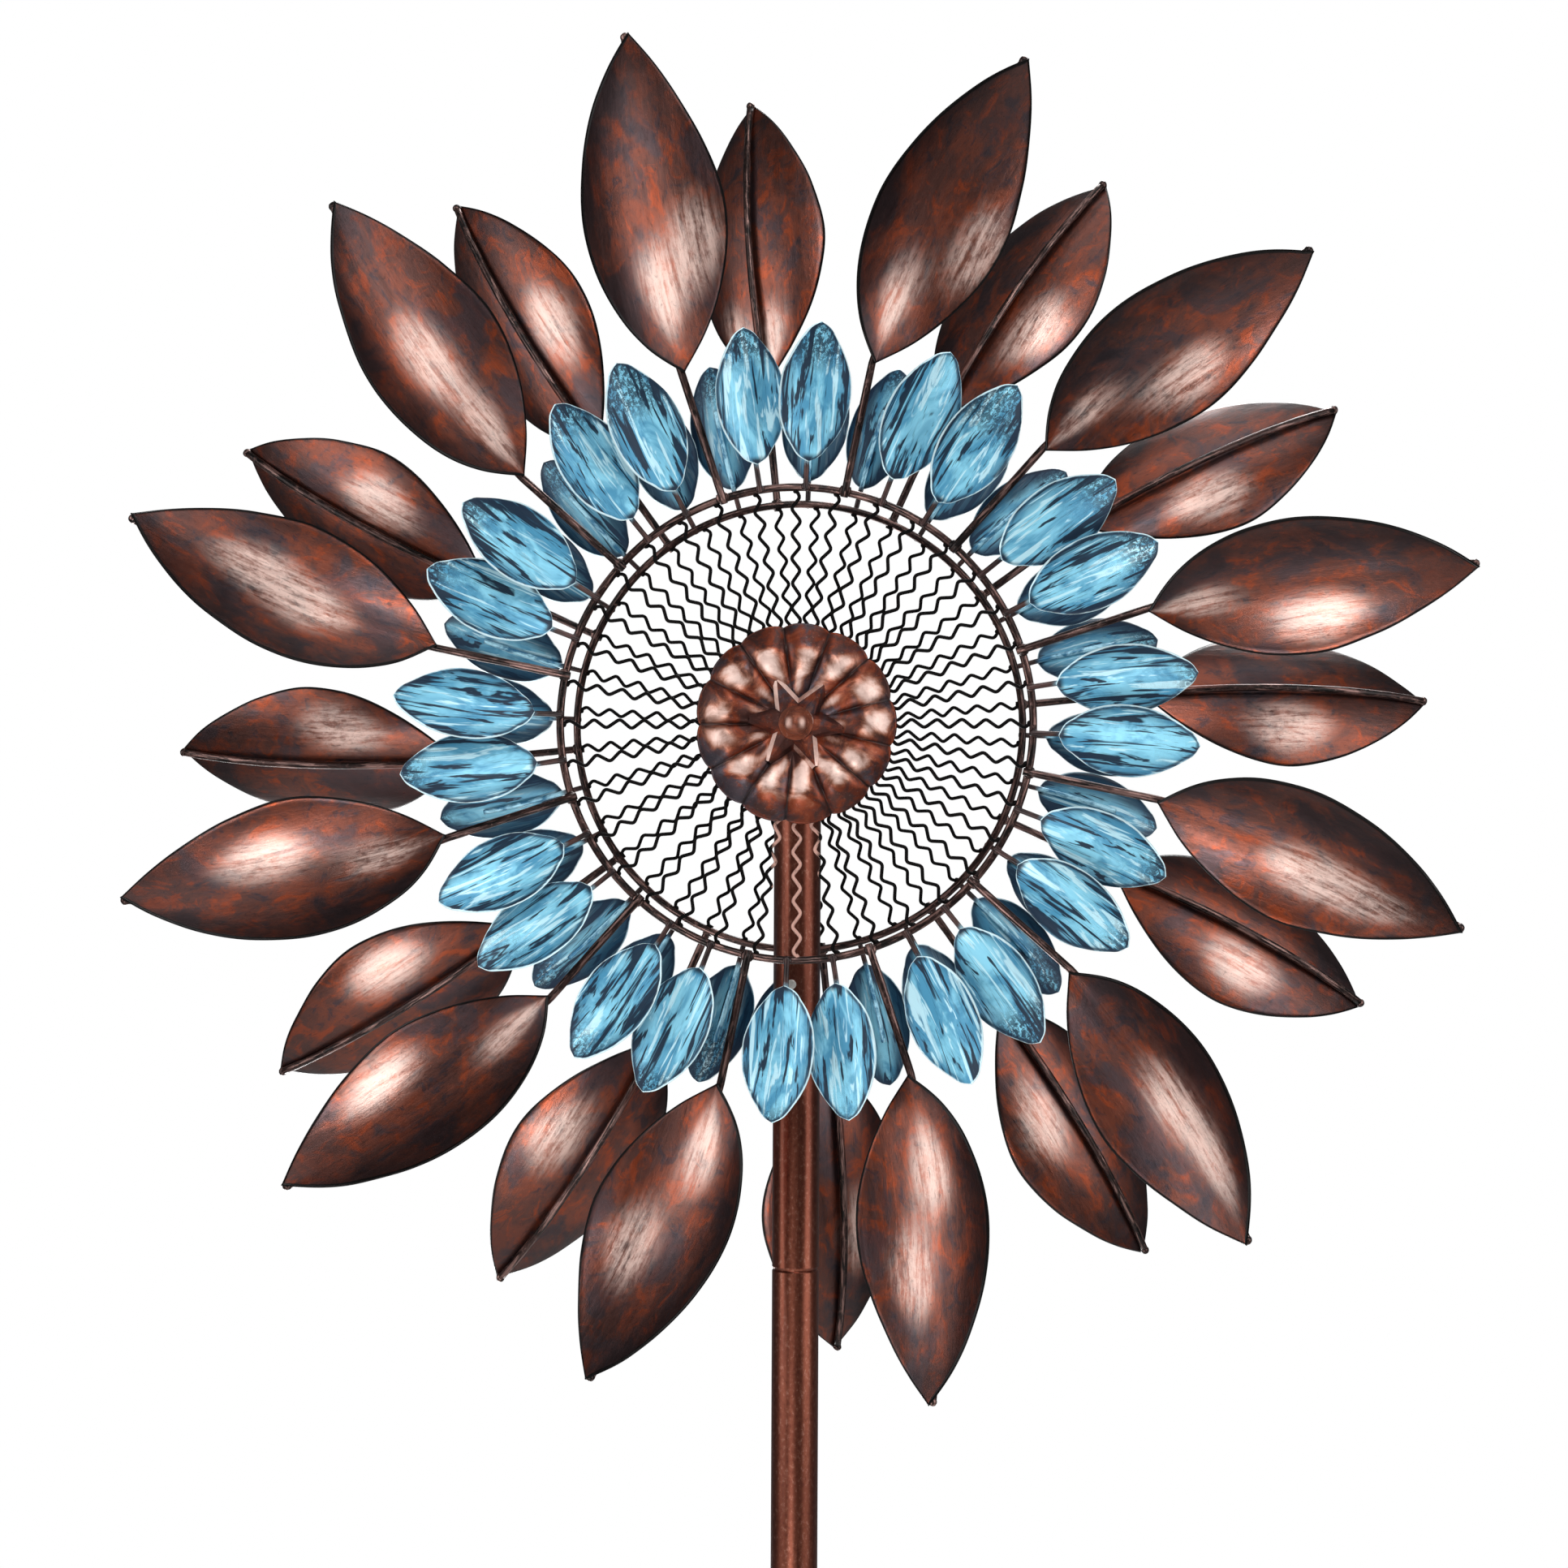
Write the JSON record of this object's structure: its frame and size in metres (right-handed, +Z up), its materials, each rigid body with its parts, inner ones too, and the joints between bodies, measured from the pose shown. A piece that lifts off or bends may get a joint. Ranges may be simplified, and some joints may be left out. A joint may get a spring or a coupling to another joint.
{
  "type": "kinetic wind sculpture",
  "caption": "Garden wind spinner: two separate leaf-and-petal rotors turn on one axle, in front of and behind a sectional pole with a pronged ground stake.",
  "frame": {"origin": "on the pole's axis at the ground line, at the centre of the four prongs", "axes": "+Z up the pole, +Y along the axle from the front rotor to the back rotor, +X to the right seen from the front"},
  "size_m": [0.6094, 0.1836, 1.9047],
  "materials": {
    "pole_paint": "fine hammered copper-brown paint",
    "leaf_copper": "mottled copper and bronze, brushed, satin",
    "petal_blue": "brushed sky blue over dark navy, pale rim",
    "rod_paint": "dark bronze, satin",
    "wire_paint": "near-black brown, satin",
    "rosette_copper": "rubbed copper, satin to gloss",
    "nut_paint": "gloss copper",
    "plated_steel": "zinc plated",
    "bearing_steel": "ground and polished"
  },
  "bodies": {
    "post": {"acorn_nuts": "nut_paint", "axle": "plated_steel", "axle_housing": "pole_paint", "axle_spacers": "plated_steel", "axle_washers": "nut_paint", "bearing_balls": "bearing_steel", "bearing_inner_races": "bearing_steel", "head_cap": "pole_paint", "head_lock_screw": "plated_steel", "head_tube": "pole_paint", "pole_joint_screws": "plated_steel", "pole_section_1": "pole_paint", "pole_section_2": "pole_paint", "pole_section_3": "pole_paint", "socket_clamp_screws": "plated_steel", "stake_prongs": "pole_paint", "stake_socket": "pole_paint"},
    "front_rotor": {"front_bearing_outer_races": "bearing_steel", "front_hub": "rosette_copper", "front_leaf_01": "leaf_copper", "front_leaf_02": "leaf_copper", "front_leaf_03": "leaf_copper", "front_leaf_04": "leaf_copper", "front_leaf_05": "leaf_copper", "front_leaf_06": "leaf_copper", "front_leaf_07": "leaf_copper", "front_leaf_08": "leaf_copper", "front_leaf_09": "leaf_copper", "front_leaf_10": "leaf_copper", "front_leaf_11": "leaf_copper", "front_leaf_12": "leaf_copper", "front_leaf_arms": "rod_paint", "front_petal_stems": "rod_paint", "front_petals": "petal_blue", "front_ring": "rod_paint", "front_rosette": "rosette_copper", "front_spoke_wires": "wire_paint", "front_star": "rosette_copper"},
    "back_rotor": {"back_bearing_outer_races": "bearing_steel", "back_hub": "rosette_copper", "back_leaf_01": "leaf_copper", "back_leaf_02": "leaf_copper", "back_leaf_03": "leaf_copper", "back_leaf_04": "leaf_copper", "back_leaf_05": "leaf_copper", "back_leaf_06": "leaf_copper", "back_leaf_07": "leaf_copper", "back_leaf_08": "leaf_copper", "back_leaf_09": "leaf_copper", "back_leaf_10": "leaf_copper", "back_leaf_11": "leaf_copper", "back_leaf_12": "leaf_copper", "back_leaf_arms": "rod_paint", "back_petal_stems": "rod_paint", "back_petals": "petal_blue", "back_ring": "rod_paint", "back_rosette": "rosette_copper", "back_spoke_wires": "wire_paint", "back_star": "rosette_copper"}
  },
  "joints": [
    {"name": "front_rotor_spin", "type": "hinge", "parent": "post", "child": "front_rotor", "pos_m": [0, -0.036, 1.42], "axis": [0, 1, 0], "continuous": true},
    {"name": "back_rotor_spin", "type": "hinge", "parent": "post", "child": "back_rotor", "pos_m": [0, 0.036, 1.42], "axis": [0, 1, 0], "continuous": true}
  ]
}
